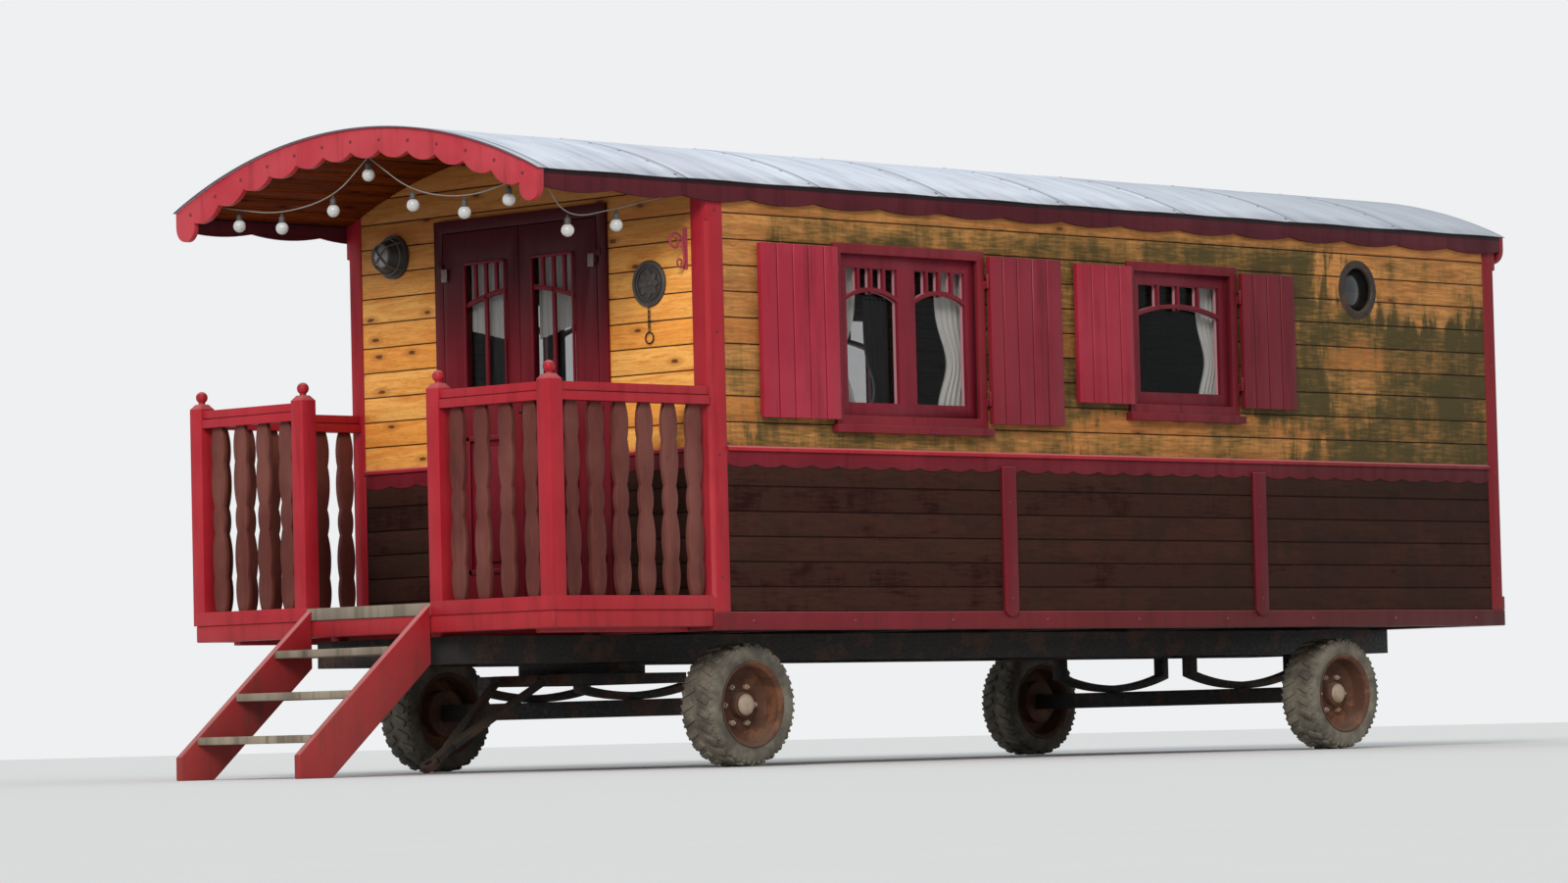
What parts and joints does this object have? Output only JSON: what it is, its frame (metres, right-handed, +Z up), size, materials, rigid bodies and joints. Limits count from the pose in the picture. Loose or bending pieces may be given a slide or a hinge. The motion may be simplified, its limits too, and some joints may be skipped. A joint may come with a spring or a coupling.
{
  "type": "living wagon",
  "caption": "Red wooden living wagon on steel wheels with rubber tyres: arched roof, railed porch with steps, double door, shuttered windows and a string of bulbs.",
  "frame": {"origin": "on the ground under the middle of the whole wagon", "axes": "+X along the wagon from the porch towards the rear, +Y to the side away from the porthole, +Z up"},
  "size_m": [7.6972, 2.592, 2.9688],
  "materials": {
    "red_paint": "worn gloss paint on wood",
    "maroon_paint": "weathered paint on wood",
    "stained_pine": "varnished pine boards with knots",
    "dark_boards": "dark stained boards",
    "grey_boards": "weathered bare boards",
    "ceiling_boards": "stained boards",
    "roof_metal": "weathered galvanised sheet",
    "chassis_paint": "old black paint",
    "rim_paint": "rusty paint",
    "tyre": "dusty block tread",
    "glass": "window glass",
    "lamp_plastic": "blank fittings",
    "cable_plastic": "pale cable",
    "bulb_glass": "clear bulbs with grey sockets"
  },
  "bodies": {
    "wagon": {"chassis_frame": "chassis_paint", "sill_frame": "red_paint", "floor": "ceiling_boards", "corner_posts": "maroon_paint", "wall_left_lower": "dark_boards", "wall_right_lower": "dark_boards", "wall_front_lower": "dark_boards", "wall_rear_lower": "dark_boards", "wall_left_upper": "stained_pine", "wall_right_upper": "stained_pine", "wall_front_upper": "stained_pine", "wall_rear_upper": "stained_pine", "mid_rails": "maroon_paint", "lower_battens": "maroon_paint", "roof_boards": "ceiling_boards", "roof_sheet": "roof_metal", "bargeboards": "red_paint", "eave_valances": "maroon_paint", "porch_frame": "red_paint", "porch_deck": "grey_boards", "porch_posts": "red_paint", "porch_rails": "red_paint", "balusters": "maroon_paint", "stair_stringers": "red_paint", "stair_treads": "grey_boards", "door_frame": "red_paint", "window_casings": "maroon_paint", "window_sashes": "maroon_paint", "window_glass": "glass", "porthole": "maroon_paint", "wall_fittings": "lamp_plastic", "rear_axle": "chassis_paint", "light_cable": "cable_plastic", "light_bulbs": "bulb_glass", "light_eyes": "lamp_plastic"},
    "steering": {"front_axle": "chassis_paint", "steering_frame": "chassis_paint"},
    "drawbar": {"drawbar": "chassis_paint"},
    "door_left": {"door_left": "red_paint", "door_left_glass": "glass"},
    "door_right": {"door_right": "red_paint", "door_right_glass": "glass"},
    "wheel_front_left": {"tyre_front_left": "tyre", "rim_front_left": "rim_paint"},
    "wheel_front_right": {"tyre_front_right": "tyre", "rim_front_right": "rim_paint"},
    "wheel_rear_left": {"tyre_rear_left": "tyre", "rim_rear_left": "rim_paint"},
    "wheel_rear_right": {"tyre_rear_right": "tyre", "rim_rear_right": "rim_paint"},
    "shutter_left_1_front": {"shutter_left_1_front": "maroon_paint"},
    "shutter_left_1_rear": {"shutter_left_1_rear": "maroon_paint"},
    "shutter_left_2_front": {"shutter_left_2_front": "maroon_paint"},
    "shutter_left_2_rear": {"shutter_left_2_rear": "maroon_paint"},
    "shutter_right_1_front": {"shutter_right_1_front": "maroon_paint"},
    "shutter_right_1_rear": {"shutter_right_1_rear": "maroon_paint"},
    "shutter_right_2_front": {"shutter_right_2_front": "maroon_paint"},
    "shutter_right_2_rear": {"shutter_right_2_rear": "maroon_paint"}
  },
  "joints": [
    {"name": "steering_turn", "type": "hinge", "parent": "wagon", "child": "steering", "pos_m": [-1.72343, 0, 0.475], "axis": [0, 0, 1], "range_deg": [-35, 35]},
    {"name": "drawbar_lift", "type": "hinge", "parent": "steering", "child": "drawbar", "pos_m": [-2.11343, 0, 0.425], "axis": [0, 1, 0], "range_deg": [0, 36]},
    {"name": "wheel_front_left_spin", "type": "hinge", "parent": "steering", "child": "wheel_front_left", "pos_m": [-1.72343, -1.045, 0.285], "axis": [0, 1, 0], "continuous": true},
    {"name": "wheel_front_right_spin", "type": "hinge", "parent": "steering", "child": "wheel_front_right", "pos_m": [-1.72343, 1.045, 0.285], "axis": [0, 1, 0], "continuous": true},
    {"name": "wheel_rear_left_spin", "type": "hinge", "parent": "wagon", "child": "wheel_rear_left", "pos_m": [2.56157, -1.045, 0.285], "axis": [0, 1, 0], "continuous": true},
    {"name": "wheel_rear_right_spin", "type": "hinge", "parent": "wagon", "child": "wheel_rear_right", "pos_m": [2.56157, 1.045, 0.285], "axis": [0, 1, 0], "continuous": true},
    {"name": "door_left_swing", "type": "hinge", "parent": "wagon", "child": "door_left", "pos_m": [-2.08043, -0.5345, 0.966], "axis": [0, 0, 1], "range_deg": [0, 110]},
    {"name": "shutter_left_1_front_swing", "type": "hinge", "parent": "wagon", "child": "shutter_left_1_front", "pos_m": [-1.24043, -1.282, 1.721], "axis": [0, 0, 1], "range_deg": [0, 180]},
    {"name": "shutter_left_1_rear_swing", "type": "hinge", "parent": "wagon", "child": "shutter_left_1_rear", "pos_m": [-0.21043, -1.282, 1.721], "axis": [0, 0, -1], "range_deg": [0, 180]},
    {"name": "shutter_left_2_front_swing", "type": "hinge", "parent": "wagon", "child": "shutter_left_2_front", "pos_m": [0.82957, -1.282, 1.84], "axis": [0, 0, 1], "range_deg": [0, 180]},
    {"name": "shutter_left_2_rear_swing", "type": "hinge", "parent": "wagon", "child": "shutter_left_2_rear", "pos_m": [1.65357, -1.282, 1.84], "axis": [0, 0, -1], "range_deg": [0, 180]},
    {"name": "door_right_swing", "type": "hinge", "parent": "wagon", "child": "door_right", "pos_m": [-2.08043, 0.5345, 0.966], "axis": [0, 0, -1], "range_deg": [0, 110]},
    {"name": "shutter_right_1_front_swing", "type": "hinge", "parent": "wagon", "child": "shutter_right_1_front", "pos_m": [-1.24043, 1.282, 1.721], "axis": [0, 0, -1], "range_deg": [0, 180]},
    {"name": "shutter_right_1_rear_swing", "type": "hinge", "parent": "wagon", "child": "shutter_right_1_rear", "pos_m": [-0.21043, 1.282, 1.721], "axis": [0, 0, 1], "range_deg": [0, 180]},
    {"name": "shutter_right_2_front_swing", "type": "hinge", "parent": "wagon", "child": "shutter_right_2_front", "pos_m": [0.82957, 1.282, 1.84], "axis": [0, 0, -1], "range_deg": [0, 180]},
    {"name": "shutter_right_2_rear_swing", "type": "hinge", "parent": "wagon", "child": "shutter_right_2_rear", "pos_m": [1.65357, 1.282, 1.84], "axis": [0, 0, 1], "range_deg": [0, 180]}
  ]
}
